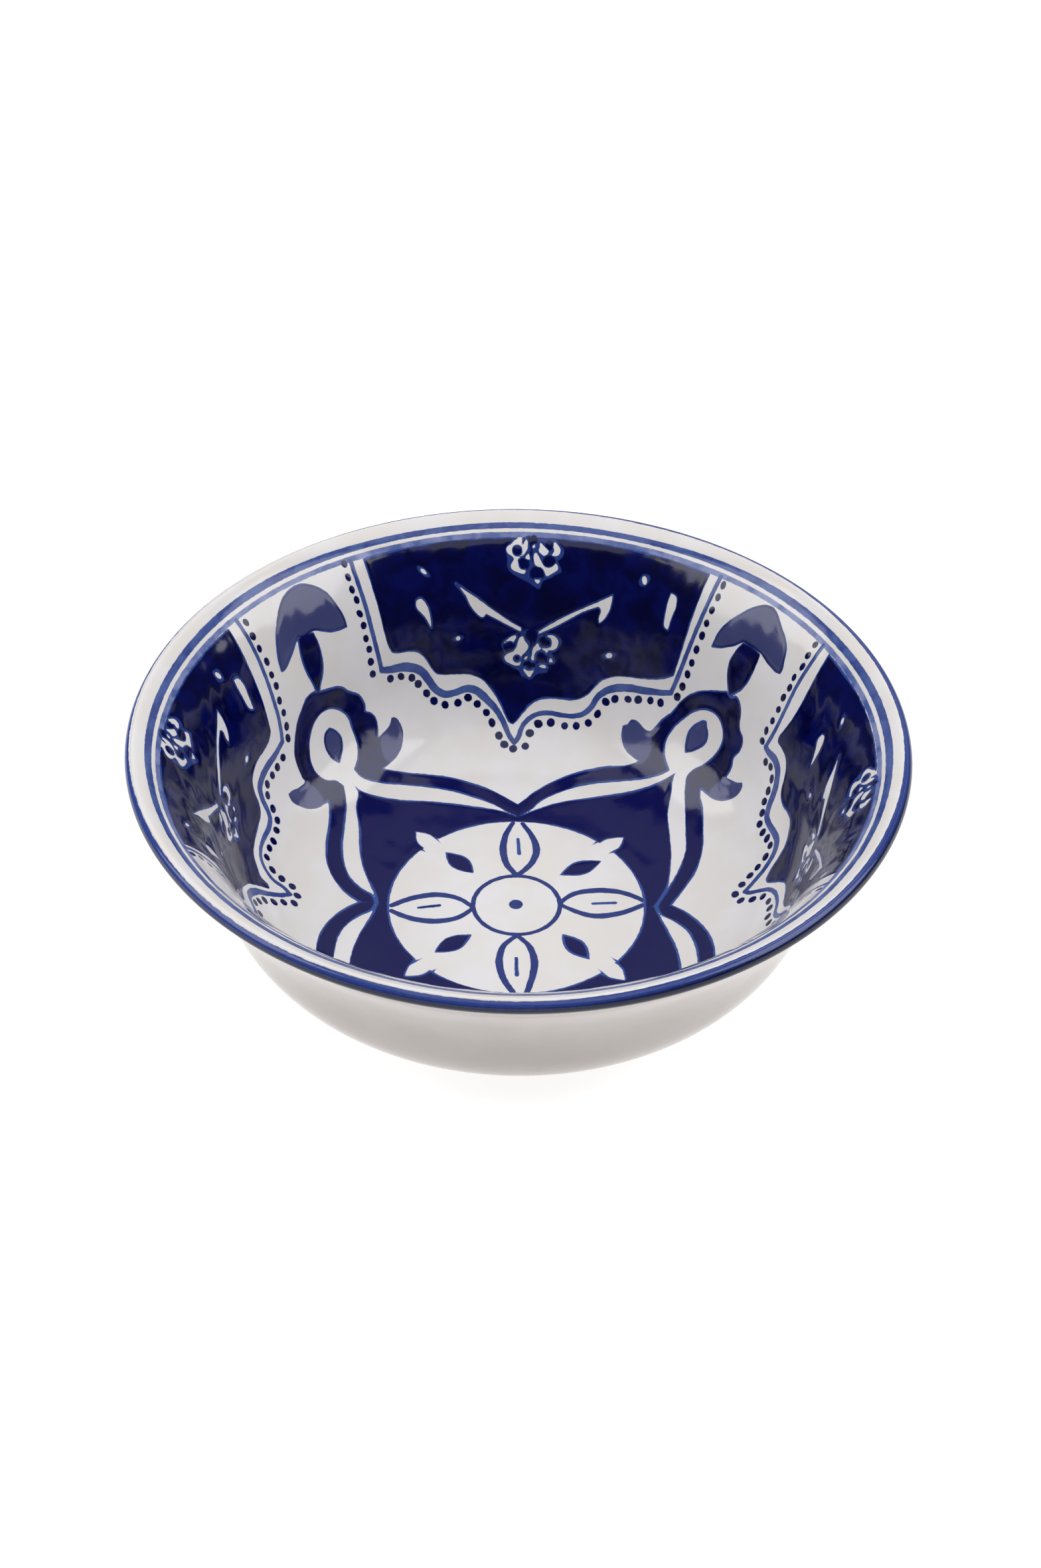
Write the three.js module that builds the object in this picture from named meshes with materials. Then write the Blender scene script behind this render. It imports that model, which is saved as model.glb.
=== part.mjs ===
// A deep glazed bowl with a flared lip, thrown in one piece of clay and painted by hand.
// Millimetres. The bowl stands on z = 0 and its axis is +Z.
// Five solids: the fired clay, and the four glass-hard coats that the kiln fuses onto it.

import * as THREE from 'three';

// Driving dimensions.
const rimRadius = 140;
const bowlHeight = 94;
const lipThickness = 5.6;
const wallThickness = 7;
const waistRadius = 105.5;
const waistHeight = 47.5;
const wellRadius = 50;
const wellHeight = 10.7;
const footRadius = 64;
const footWidth = 7;
const footHeight = 4.5;
const recessDepth = 3.5;
const edgeRound = 1;
const glazeThickness = 0.5;
const bareFootHeight = 2;

// Slopes of the profile, in degrees.
const flareSlope = 22.5;
const underFlareSlope = 40;
const wallLean = 17;
const baseSlope = 18;
const bandStartAngle = 75;

// How full each curve is: the reach of its handles as a share of the span that it crosses.
const heelReach = 0.52;
const heelRise = 0.82;
const wallRise = 0.42;
const flareReach = 0.5;
const underReach = 0.45;
const underRise = 0.52;
const baseRise = 0.42;
const baseReach = 0.94;

// Fineness of the facets.
const turnSteps = 60;
const heelSteps = 8;
const wallSteps = 7;
const lipSteps = 2;
const underSteps = 5;
const baseSteps = 7;
const cornerSteps = 2;

const heading = (degrees) => {
  const angle = THREE.MathUtils.degToRad(degrees);
  return new THREE.Vector2(Math.cos(angle), Math.sin(angle));
};

const moved = (point, direction, distance) => point.clone().addScaledVector(direction, distance);

const curve = (start, startHandle, endHandle, end, steps) =>
  new THREE.CubicBezierCurve(start, startHandle, endHandle, end).getPoints(steps);

const arc = (centre, radius, fromAngle, toAngle, steps) => {
  const points = [];
  for (let i = 0; i <= steps; i += 1) {
    const angle = THREE.MathUtils.lerp(fromAngle, toAngle, i / steps);
    points.push(moved(centre, heading(angle), radius));
  }
  return points;
};

// Stretches are laid end to end; a point that repeats the one before it is left out.
const joined = (...stretches) => {
  const points = [];
  for (const point of stretches.flat()) {
    const last = points[points.length - 1];
    if (!last || last.distanceTo(point) > 0.01) {
      points.push(point);
    }
  }
  return points;
};

// The lip is a round bead. The inside and the underside of the flare run into it tangentially.
// Its crest is the bowl's highest point, and its brim is the widest.
const lipRadius = lipThickness / 2;
const lipCentre = new THREE.Vector2(rimRadius - lipRadius, bowlHeight - lipRadius);
const crestAngle = 90;
const brimAngle = 0;
const insideTangentAngle = crestAngle + flareSlope;
const undersideTangentAngle = underFlareSlope - crestAngle;

// Inside, from the middle of the well to where the painted rim band starts on the lip.
const wellMiddle = new THREE.Vector2(0, wellHeight);
const wellEdge = new THREE.Vector2(wellRadius, wellHeight);
const waist = new THREE.Vector2(waistRadius, waistHeight);
const upTheWall = heading(90 - wallLean);
const lipInside = moved(lipCentre, heading(insideTangentAngle), lipRadius);
const heelSpan = waist.clone().sub(wellEdge);
const wallSpan = lipInside.clone().sub(waist);
const insideFace = joined(
  [wellMiddle],
  curve(
    wellEdge,
    moved(wellEdge, heading(0), heelReach * heelSpan.x),
    moved(waist, upTheWall, -heelRise * heelSpan.y),
    waist,
    heelSteps
  ),
  curve(
    waist,
    moved(waist, upTheWall, wallRise * wallSpan.y),
    moved(lipInside, heading(flareSlope), -flareReach * wallSpan.x),
    lipInside,
    wallSteps
  ),
  arc(lipCentre, lipRadius, insideTangentAngle, crestAngle, 1),
  arc(lipCentre, lipRadius, crestAngle, bandStartAngle, 1)
);

// The rim band wraps the lip as far as its underside.
const bandFace = joined(
  arc(lipCentre, lipRadius, bandStartAngle, brimAngle, lipSteps),
  arc(lipCentre, lipRadius, brimAngle, undersideTangentAngle, lipSteps)
);

// Outside, from under the lip past the waist and down to the foot ring's face.
const lipUnderside = moved(lipCentre, heading(undersideTangentAngle), lipRadius);
const outerWaist = moved(waist, heading(-wallLean), wallThickness);
const footTop = new THREE.Vector2(footRadius + edgeRound, footHeight);
const underSpan = lipUnderside.clone().sub(outerWaist);
const baseSpan = outerWaist.clone().sub(footTop);
const bareLine = new THREE.Vector2(footRadius, bareFootHeight);
const outsideFace = joined(
  curve(
    lipUnderside,
    moved(lipUnderside, heading(underFlareSlope), -underReach * underSpan.x),
    moved(outerWaist, upTheWall, underRise * underSpan.y),
    outerWaist,
    underSteps
  ),
  curve(
    outerWaist,
    moved(outerWaist, upTheWall, -baseRise * baseSpan.y),
    moved(footTop, heading(baseSlope), baseReach * baseSpan.x),
    footTop,
    baseSteps
  ),
  arc(moved(footTop, heading(-90), edgeRound), edgeRound, 90, 180, cornerSteps),
  [bareLine]
);

// The foot ring's ground face is left bare. It is flat between two rounded edges.
const footInnerRadius = footRadius - footWidth;
const recessEdge = new THREE.Vector2(footInnerRadius, recessDepth - edgeRound);
const footFace = joined(
  [bareLine],
  arc(new THREE.Vector2(footRadius - edgeRound, edgeRound), edgeRound, 0, -90, cornerSteps),
  arc(new THREE.Vector2(footInnerRadius + edgeRound, edgeRound), edgeRound, -90, -180, cornerSteps),
  [recessEdge]
);

// The recess inside the foot ring, to the middle of the base.
const baseFace = joined(
  [recessEdge],
  arc(new THREE.Vector2(footInnerRadius - edgeRound, recessEdge.y), edgeRound, 0, 90, cornerSteps),
  [new THREE.Vector2(0, recessDepth)]
);

// The whole finished profile, and the clay surface that lies one glaze thickness below it.
const faces = [insideFace, bandFace, outsideFace, footFace, baseFace];
const finished = joined(...faces);
const clay = finished.map((point, i) => {
  const before = finished[Math.max(i - 1, 0)];
  const after = finished[Math.min(i + 1, finished.length - 1)];
  const along = after.clone().sub(before).normalize();
  const intoClay = new THREE.Vector2(along.y, -along.x);
  const onAxis = i === 0 || i === finished.length - 1;
  if (onAxis) {
    intoClay.set(0, Math.sign(intoClay.y));
  }
  return moved(point, intoClay, glazeThickness);
});

const stretchOf = (points, face) => {
  const from = finished.findIndex((point) => point.distanceTo(face[0]) < 0.01);
  return points.slice(from, from + face.length);
};

// A solid of revolution. Its outline either starts and ends on the axis or closes on itself.
const turned = (outline) => {
  const closed = outline[0].x === 0 ? outline : [...outline, outline[0]];
  const geometry = new THREE.LatheGeometry(closed, turnSteps);
  geometry.rotateX(Math.PI / 2);
  return geometry;
};

// Turns every triangle over, so that a solid drawn the other way round faces out.
const turnedOver = (geometry) => {
  const index = geometry.getIndex();
  for (let i = 0; i < index.count; i += 3) {
    const second = index.getX(i + 1);
    index.setX(i + 1, index.getX(i + 2));
    index.setX(i + 2, second);
  }
  geometry.computeVertexNormals();
  return geometry;
};

const piece = (name, geometry, material) => {
  const mesh = new THREE.Mesh(geometry, material);
  mesh.name = name;
  return mesh;
};

// A coat runs out along the clay and back along the finished surface.
// It is drawn the same way along the clay as the clay itself, so the two share every facet.
const coat = (face) => turned([...stretchOf(clay, face), ...stretchOf(finished, face).reverse()]);

const clayOutline = faces.flatMap((face) => stretchOf(face === footFace ? finished : clay, face));

const ceramic = (color, roughness) =>
  new THREE.MeshStandardMaterial({ color, roughness, metalness: 0 });

const group = new THREE.Group();
group.add(
  piece('clay_body', turnedOver(turned(joined(clayOutline))), ceramic(0xe6ddd0, 0.85)),
  piece('inside_glaze', coat(insideFace), ceramic(0xe6e6e4, 0.12)),
  piece('rim_band', coat(bandFace), ceramic(0x26408c, 0.15)),
  piece('outside_glaze', coat(outsideFace), ceramic(0xddd8d4, 0.2)),
  piece('base_glaze', coat(baseFace), ceramic(0xddd8d4, 0.25))
);

export default group;
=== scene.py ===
import math

import bpy
import numpy as np
from mathutils import Matrix, Vector


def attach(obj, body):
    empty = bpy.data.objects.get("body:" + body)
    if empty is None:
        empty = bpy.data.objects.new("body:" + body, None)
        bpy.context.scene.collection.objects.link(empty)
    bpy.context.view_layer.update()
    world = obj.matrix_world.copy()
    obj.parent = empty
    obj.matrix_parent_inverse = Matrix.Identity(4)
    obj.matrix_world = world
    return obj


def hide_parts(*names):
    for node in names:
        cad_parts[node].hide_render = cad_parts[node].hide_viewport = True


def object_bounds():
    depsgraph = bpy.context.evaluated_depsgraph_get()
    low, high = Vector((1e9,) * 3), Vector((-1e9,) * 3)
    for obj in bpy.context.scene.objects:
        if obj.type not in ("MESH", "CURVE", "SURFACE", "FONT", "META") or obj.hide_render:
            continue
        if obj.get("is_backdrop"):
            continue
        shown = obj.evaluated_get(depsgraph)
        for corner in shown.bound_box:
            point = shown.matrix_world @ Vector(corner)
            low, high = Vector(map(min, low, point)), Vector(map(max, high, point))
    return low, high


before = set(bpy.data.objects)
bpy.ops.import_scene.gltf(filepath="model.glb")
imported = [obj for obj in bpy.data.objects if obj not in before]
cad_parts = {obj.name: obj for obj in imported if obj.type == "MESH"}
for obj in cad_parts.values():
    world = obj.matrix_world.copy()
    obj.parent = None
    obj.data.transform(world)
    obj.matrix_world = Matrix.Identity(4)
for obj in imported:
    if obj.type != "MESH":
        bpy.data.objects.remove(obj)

cad_low, cad_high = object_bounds()


# ------------------------------------------------------------------ clay body
# The bowl is thrown in pale earthenware on a wheel, and its foot is turned once the clay is leather hard.
# Glaze covers all of it but the foot ring, which the potter wipes clean so that it can stand in the kiln.

MM = 0.001
rim_radius = (cad_high.x - cad_low.x) / 2 / MM
bowl_height = (cad_high.z - cad_low.z) / MM
lip_radius = 2.8
lip_centre = np.array([rim_radius - lip_radius, bowl_height - lip_radius])
well_edge = np.array([50.0, 10.7])
waist = np.array([105.5, 47.5])
wall_thickness = 7.0
foot_radius = 64.0
foot_width = 7.0
foot_height = 4.5
bare_height = 2.0
recess_depth = 3.5
edge_round = 1.0
glaze_depth = 0.5
wall_rise = 73
flare_rise = 22.5
under_rise = 40
base_rise = 18
inner_lip = 112.5
band_start = 75
band_end = -50


def heading(degrees):
    """A step of one along a slope of the profile."""
    return np.array([math.cos(math.radians(degrees)), math.sin(math.radians(degrees))])


def bow(start, lead_out, lead_in, end, steps):
    """A bowed line of the profile, pulled towards its two lead points."""
    t = np.linspace(0, 1, steps + 1)[:, None]
    s = 1 - t
    return s**3 * start + 3 * s * s * t * lead_out + 3 * s * t * t * lead_in + t**3 * end


def rounded(centre, radius, first, last, steps):
    """A rounded edge of the profile."""
    return np.array([centre + radius * heading(a) for a in np.linspace(first, last, steps + 1)])


def inside_line():
    """The inside of the bowl, from the middle of the well up to the painted rim."""
    heel = waist - well_edge
    lip = lip_centre + lip_radius * heading(inner_lip)
    flare = lip - waist
    climb = heading(wall_rise)
    return np.vstack([
        np.linspace([0, well_edge[1]], well_edge, 51)[:-1],
        bow(well_edge, well_edge + [0.52 * heel[0], 0], waist - climb * 0.82 * heel[1], waist, 90)[:-1],
        bow(waist, waist + climb * 0.42 * flare[1], lip - heading(flare_rise) * 0.5 * flare[0], lip, 70)[:-1],
        rounded(lip_centre, lip_radius, inner_lip, band_start, 6),
    ])


def outside_line(steps):
    """The outside of the bowl, from under the painted rim down to the bare foot."""
    lip = lip_centre + lip_radius * heading(band_end)
    side = waist + wall_thickness * heading(wall_rise - 90)
    base = np.array([foot_radius + edge_round, foot_height])
    climb = heading(wall_rise)
    under = lip - side
    below = side - base
    return np.vstack([
        bow(lip, lip - 0.45 * under[0] * heading(under_rise), side + 0.52 * under[1] * climb, side,
            steps)[:-1],
        bow(side, side - 0.42 * below[1] * climb, base + 0.94 * below[0] * heading(base_rise), base,
            steps)[:-1],
        rounded(base - [0, edge_round], edge_round, 90, 180, 6),
        [[foot_radius, bare_height]],
    ])


def foot_line():
    """The bare foot ring, from its outer edge over the face it stands on."""
    inner = foot_radius - foot_width
    return np.vstack([
        [[foot_radius, bare_height]],
        rounded(np.array([foot_radius - edge_round, edge_round]), edge_round, 0, -90, 6),
        rounded(np.array([inner + edge_round, edge_round]), edge_round, -90, -180, 6),
        [[inner, recess_depth - edge_round]],
    ])


def base_line(steps):
    """The glazed underside within the foot ring, from the ring to the middle."""
    inner = foot_radius - foot_width
    arch = rounded(np.array([inner - edge_round, recess_depth - edge_round]), edge_round, 0, 90, 6)
    return np.vstack([arch, np.linspace(arch[-1], [0, recess_depth], steps + 1)[1:]])


def sunk(line, depth):
    """The same line a little way down into the clay."""
    along = np.gradient(line, axis=0)
    along /= np.linalg.norm(along, axis=1)[:, None]
    down = np.stack([along[:, 1], -along[:, 0]], axis=1)
    lower = line + depth * down
    lower[:, 0] = np.maximum(lower[:, 0], 0)
    lower[line[:, 0] < 1e-6, 0] = 0
    return lower


def handmade(x, y, z):
    """Where a point of a perfect bowl lies on the thrown one, which leans and wanders by a few tenths."""
    angle = np.arctan2(y, x)
    up = np.clip(z / bowl_height, 0, 1) ** 2
    sway = 0.14 + 0.08 * np.sin(2 * angle + 0.6) + 0.04 * np.sin(3 * angle + 2.2) + 0.02 * np.sin(7 * angle)
    dip = 0.12 + 0.08 * np.sin(angle - 0.9) + 0.04 * np.sin(4 * angle + 1.1)
    keep = 1 - up * sway / rim_radius
    return x * keep, y * keep, z - up * up * dip


def thrown(name, line, counts, lifts=None, closed=False):
    """A mesh spun round the axis from a profile line, with as many points round each ring as counts says."""
    starts = np.concatenate([[0], np.cumsum(counts)])
    where = np.zeros((starts[-1], 3))
    for (r, z), count, start in zip(line, counts, starts):
        angle = np.arange(count) * 2 * math.pi / count
        ring = [r * np.cos(angle), r * np.sin(angle), np.full(count, z)]
        where[start:start + count] = np.stack(ring, axis=1)
    if lifts is not None:
        where[:len(lifts)] += lifts
    where = np.stack(handmade(*where.T), axis=1)
    pairs = list(zip(starts, counts, starts[1:], counts[1:]))
    if closed:
        pairs.append((starts[-2], counts[-1], starts[0], counts[0]))
    faces = []
    for low, low_count, high, high_count in pairs:
        few, many = min(low_count, high_count), max(low_count, high_count)
        if many == 1:
            continue
        share = many // few
        i = np.arange(many)
        coarse, fine = (low, high) if low_count <= high_count else (high, low)
        after = (i + 1) % many
        if few == many:
            faces += np.stack([coarse + i, fine + i, fine + after, coarse + after], axis=1).tolist()
            continue
        turn = 1 if coarse == low else -1
        closest = (i + share // 2) // share % few
        faces += np.stack([coarse + closest, fine + i, fine + after], axis=1)[:, ::turn].tolist()
        if few > 1:
            k = np.arange(few)
            middle = (k * share + share - share // 2) % many
            faces += np.stack([coarse + k, fine + middle, coarse + (k + 1) % few], axis=1)[:, ::turn].tolist()
    mesh = bpy.data.meshes.new(name)
    mesh.from_pydata((where * MM).tolist(), [], faces)
    mesh.shade_smooth()
    piece = bpy.data.objects.new(name, mesh)
    bpy.context.scene.collection.objects.link(piece)
    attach(piece, "root")
    return piece


def tint(red, green, blue):
    """A colour as a colour card gives it, 0 to 255, in the shader's own scale."""
    scaled = [c / 255 for c in (red, green, blue)]
    return tuple(c / 12.92 if c <= 0.04045 else ((c + 0.055) / 1.055) ** 2.4 for c in scaled) + (1.0,)


class Tone:
    """A value in a finish. Sums on it add Math nodes, and node() adds any other kind."""

    def __init__(self, tree, socket=None):
        self.tree = tree
        self.socket = socket

    def node(self, kind, settings, sockets, output=0):
        made = self.tree.nodes.new("ShaderNode" + kind)
        for name, value in settings.items():
            setattr(made, name, value)
        for name, value in sockets.items():
            if isinstance(value, Tone):
                self.tree.links.new(value.socket, made.inputs[name])
            else:
                made.inputs[name].default_value = value
        return Tone(self.tree, made.outputs[output])

    def sum(self, operation, first, second):
        return self.node("Math", {"operation": operation}, {0: first, 1: second})

    def __add__(self, other):
        return self.sum("ADD", self, other)

    def __sub__(self, other):
        return self.sum("SUBTRACT", self, other)

    def __mul__(self, other):
        return self.sum("MULTIPLY", self, other)

    def __radd__(self, other):
        return self.sum("ADD", other, self)

    def __rsub__(self, other):
        return self.sum("SUBTRACT", other, self)

    def __rmul__(self, other):
        return self.sum("MULTIPLY", other, self)

    def rise(self, low, high):
        """0 below low, 1 above high, and a soft step between."""
        return self.node("MapRange", {"interpolation_type": "SMOOTHSTEP"},
                         {"Value": self, "From Min": low, "From Max": high})

    def over(self, under, top):
        """The colour top laid over the colour under, as thickly as this value says."""
        return self.node("Mix", {"data_type": "RGBA"}, {0: self, 6: under, 7: top}, 2)


def finish(name, piece):
    """A new empty finish on a piece, and its Principled shader's sockets."""
    material = bpy.data.materials.new(name)
    material.use_nodes = True
    tree = material.node_tree
    piece.data.materials.clear()
    piece.data.materials.append(material)
    return Tone(tree), tree.nodes["Principled BSDF"].inputs


def lay(tone, socket):
    """Feeds a value of a finish to one of its shader's sockets."""
    tone.tree.links.new(tone.socket, socket)


def speckle(start, size, depth, output=0, warp=0.0):
    """Cloudy variation in the piece's own space, with blotches of about size mm."""
    place = start.node("TexCoord", {}, {}, "Object")
    return start.node("TexNoise", {}, {"Vector": place, "Scale": 1 / (size * MM), "Detail": depth,
                                       "Distortion": warp}, output)


clay_line = np.vstack([
    sunk(inside_line(), glaze_depth)[::4],
    sunk(rounded(lip_centre, lip_radius, band_start, band_end, 14), glaze_depth),
    sunk(outside_line(24), glaze_depth)[1:-1],
    foot_line(),
    sunk(base_line(12), glaze_depth)[1:],
])
clay = thrown("fired_clay", clay_line, [1] + [192] * (len(clay_line) - 2) + [1])
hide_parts("clay_body")
biscuit, sockets = finish("fired_buff_clay", clay)
body_tone = speckle(biscuit, 9, 4)
grit = speckle(biscuit, 0.7, 3).rise(0.62, 0.74)
grog = speckle(biscuit, 1.6, 2).rise(0.60, 0.70)
height = biscuit.node("SeparateXYZ", {}, {"Vector": biscuit.node("TexCoord", {}, {}, "Object")}, "Z")
drag = biscuit.node("TexNoise", {"noise_dimensions": "1D"}, {"W": height, "Scale": 1500.0, "Detail": 3.0})
clay_colour = body_tone.rise(0.3, 0.7).over(tint(206, 184, 158), tint(222, 204, 182))
clay_colour = (grit * 0.5).over(clay_colour, tint(120, 88, 62))
clay_colour = (grog * 0.4).over(clay_colour, tint(236, 224, 206))
lay(clay_colour, sockets["Base Color"])
lay(0.72 + 0.16 * speckle(biscuit, 2, 3), sockets["Roughness"])
rough_face = 0.5 * grit + 0.4 * speckle(biscuit, 0.5, 2) + 0.6 * drag
roughened = biscuit.node("Bump", {}, {"Height": rough_face, "Strength": 0.5, "Distance": 0.15 * MM})
lay(roughened, sockets["Normal"])


# --------------------------------------------------------------- inside glaze
# White glaze covers the inside, and a brush lays a flower, four looped stems and four dark panels on it in
# cobalt. The firing melts the strokes' edges into the glaze, and the thick strokes stand proud of it.

spacing = 0.75
reach = 6.0
fine_turns = 1440
half_turns = 720
coarse_turns = 240
coarse_reach = 25
half_reach = 75

inside = inside_line()
run = np.concatenate([[0], np.cumsum(np.linalg.norm(np.diff(inside, axis=0), axis=1))])
steps = np.linspace(0, run[-1], int(run[-1] / spacing) + 1)
rings = np.stack([np.interp(steps, run, inside[:, 0]), np.interp(steps, run, inside[:, 1])], axis=1)
counts = [1] + [coarse_turns if s < coarse_reach else half_turns if s < half_reach else fine_turns
                for s in steps[1:]]
distance = np.repeat(steps, counts)
bearing = np.concatenate([np.arange(n) * 2 * math.pi / n for n in counts])
spots = np.stack([distance * np.cos(bearing), distance * np.sin(bearing)], axis=1)


def flowing(points):
    """A smooth line through given points, in mm on the inside as if it were laid flat."""
    knots = np.array(points, float)
    step = np.diff(knots, axis=0)
    gap = np.linalg.norm(step, axis=1)[:, None]
    lean = step / gap
    pull = np.empty_like(knots)
    pull[1:-1] = (lean[:-1] * gap[1:] + lean[1:] * gap[:-1]) / (gap[:-1] + gap[1:])
    pull[0] = 1.5 * lean[0] - 0.5 * pull[1]
    pull[-1] = 1.5 * lean[-1] - 0.5 * pull[-2]
    parts = []
    for i in range(len(step)):
        t = np.linspace(0, 1, max(2, int(gap[i, 0] / 1.2)), endpoint=False)[:, None]
        parts.append(knots[i] + t * gap[i] * pull[i]
                     + t**2 * (3 * step[i] - gap[i] * (2 * pull[i] + pull[i + 1]))
                     + t**3 * (gap[i] * (pull[i] + pull[i + 1]) - 2 * step[i]))
    return np.vstack(parts + [knots[-1:]])


def outline(*strokes):
    """A closed shape whose edge is drawn in strokes, with a corner where each meets the next."""
    drawn = []
    last = strokes[-1][-1]
    for stroke in strokes:
        points = [last] + [p for p in stroke]
        drawn.append(flowing(points)[:-1] if len(points) > 2 else np.array(points[:-1], float))
        last = stroke[-1]
    return np.vstack(drawn)


def turned(shape, degrees, across=1.0):
    """A shape turned round the well's middle, and first flipped left to right where across is -1."""
    flat = np.array(shape, float) * [across, 1.0]
    c, s = math.cos(math.radians(degrees)), math.sin(math.radians(degrees))
    return np.stack([c * flat[:, 0] - s * flat[:, 1], s * flat[:, 0] + c * flat[:, 1]], axis=1)


def around(shape, margin):
    """The spots of the glaze that lie around a shape."""
    return np.flatnonzero(((spots > shape.min(0) - margin) & (spots < shape.max(0) + margin)).all(1))


def filled(shape):
    """How deep each spot lies within a closed shape, in mm, and below zero outside it."""
    chosen = around(shape, reach)
    x, y = spots[chosen].T
    closest = np.full(len(chosen), reach**2)
    within = np.zeros(len(chosen), bool)
    for (ax, ay), (bx, by) in zip(shape, np.roll(shape, -1, axis=0)):
        dx, dy = bx - ax, by - ay
        t = np.clip(((x - ax) * dx + (y - ay) * dy) / (dx * dx + dy * dy + 1e-12), 0, 1)
        closest = np.minimum(closest, (x - ax - t * dx) ** 2 + (y - ay - t * dy) ** 2)
        if ay != by:
            within ^= ((ay > y) != (by > y)) & (x < ax + (y - ay) * dx / dy)
    depth = np.full(len(spots), -reach)
    depth[chosen] = np.sqrt(closest) * np.where(within, 1, -1)
    return depth


def stroked(line, widths):
    """How deep each spot lies within a brush stroke along a line, with its width at each end and between."""
    across = np.interp(np.linspace(0, 1, len(line)), np.linspace(0, 1, len(widths)), widths) / 2
    chosen = around(line, reach + max(widths))
    x, y = spots[chosen].T
    best = np.full(len(chosen), -reach)
    for (ax, ay), (bx, by), wa, wb in zip(line, line[1:], across, across[1:]):
        dx, dy = bx - ax, by - ay
        t = np.clip(((x - ax) * dx + (y - ay) * dy) / (dx * dx + dy * dy + 1e-12), 0, 1)
        best = np.maximum(best, wa + t * (wb - wa) - np.hypot(x - ax - t * dx, y - ay - t * dy))
    depth = np.full(len(spots), -reach)
    depth[chosen] = best
    return depth


def dabbed(x, y, across, along=None, lean=0.0):
    """How deep each spot lies within a round or oval dab of the brush."""
    along = along or across
    centre = np.array([[x, y]], float)
    chosen = around(centre, reach + across + along)
    dx, dy = (spots[chosen] - centre).T
    c, s = math.cos(math.radians(lean)), math.sin(math.radians(lean))
    u, v = c * dx + s * dy, c * dy - s * dx
    share = np.hypot(u / across, v / along)
    depth = np.full(len(spots), -reach)
    depth[chosen] = np.clip((1 - share) * min(across, along), -reach, reach)
    return depth


class Layer:
    """One pass of the brush over the glaze, kept as the depth of each spot within its strokes."""

    def __init__(self):
        self.depth = np.full(len(spots), -reach)

    def add(self, depth):
        self.depth = np.maximum(self.depth, depth)

    def spare(self, depth):
        self.depth = np.minimum(self.depth, -depth)


cobalt, thin, line_work, pale, wash, dots = Layer(), Layer(), Layer(), Layer(), Layer(), Layer()
chance = np.random.default_rng(7)

# The stems: one ribbon on each diagonal, drawn out of one neck, round a loop and back into the next neck.
stem_left = outline(
    [(-5, 61.5), (-12, 66), (-20, 69), (-27, 70.5), (-35, 70.6), (-45, 70), (-53.5, 69.5)],
    [(-50, 73.5), (-47.5, 78), (-46.8, 83), (-48, 88), (-50.5, 90.7)],
    [(-51.8, 91), (-53.2, 90.5)],
    [(-53.5, 87.5), (-55.5, 84), (-57.3, 81.5)],
    [(-58.5, 86), (-61, 89.5), (-65.5, 90)],
    [(-66, 91.5), (-68, 94), (-71, 95.3), (-76, 95), (-81, 95.3), (-86, 92.8), (-91, 89.5), (-95, 87),
     (-97.5, 83), (-98, 77), (-98, 72), (-96, 65), (-94, 60), (-90.5, 56), (-87, 53)],
    [(-85.5, 52.5), (-87, 49.5), (-91, 45), (-92, 43.3)],
    [(-90, 41.3), (-86, 41), (-80, 42.5), (-76, 46), (-74, 48.7)],
    [(-73, 42), (-73, 36), (-73.3, 30), (-72.3, 20), (-68.6, 10.4), (-63, 3), (-58, -1)],
    [(-52, -1)],
    [(-53.5, 4), (-58.5, 8.2), (-62.8, 13.5), (-65.4, 21), (-66.4, 30), (-66.3, 40), (-66.5, 50),
     (-68.5, 57.5)],
    [(-71.5, 58.7), (-76, 57.3), (-80, 57.8), (-83, 59.5), (-86.5, 64.5), (-88.5, 71), (-88.5, 76.5),
     (-87, 80.5), (-83, 84.5), (-77.5, 85.7), (-73, 84.5), (-69.5, 80.5), (-66, 76), (-64.8, 71),
     (-65.5, 65.8)],
    [(-62, 63.5), (-55, 63), (-45, 64), (-35, 64.4), (-25, 63.3), (-18, 61), (-10, 57.5), (-4.5, 53.5),
     (1, 50)],
    [(1, 57)],
)
stem_right = outline(
    [(2, 60), (6, 64.5), (12, 69), (20, 73), (28, 75), (35, 75.6), (42, 74.8), (47.5, 75.6)],
    [(46, 77), (43, 80.5), (41.5, 84.5), (41.5, 88), (42.5, 91)],
    [(44.5, 91.2), (46.5, 92.7), (48.5, 92), (51, 88.5)],
    [(53.8, 86.5), (55, 87), (60, 90), (65, 91.5), (70, 94), (74, 95.3), (80, 95.5), (86, 94),
     (92, 91.5), (96, 89.5)],
    [(97.5, 86.5), (100.5, 85.5), (101.5, 82.5), (100.5, 78), (97.5, 73.5), (97, 72), (97.5, 69.5),
     (96, 66), (93, 64), (90, 63.5), (87.5, 60), (84, 57.5)],
    [(86, 55.5), (89, 53), (91, 52)],
    [(90.5, 50), (87, 48), (83, 48), (78, 50), (74.5, 53.5), (72, 57)],
    [(71.5, 55), (72, 50), (71.5, 40), (70.8, 30), (68, 19), (62.5, 8.5), (57, -1)],
    [(51.5, -1)],
    [(53.5, 4), (57, 11), (61.3, 21), (64, 30), (64.4, 40), (64.7, 50), (65, 57), (66, 63)],
    [(67, 65), (70, 66.5), (75, 67), (80, 68.5), (85, 71.5), (87.5, 76), (87, 82), (84, 85.5),
     (80, 87.5), (75, 88), (70, 87), (64, 84.5), (60, 80.5), (58.8, 76), (59.5, 71), (60, 68.8)],
    [(55, 67.8), (48, 67.6), (40, 67.9), (30, 67.9), (22, 66.5), (15, 63.5), (9, 59.5), (4.5, 54), (-1, 50)],
    [(-1, 57)],
)
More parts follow.
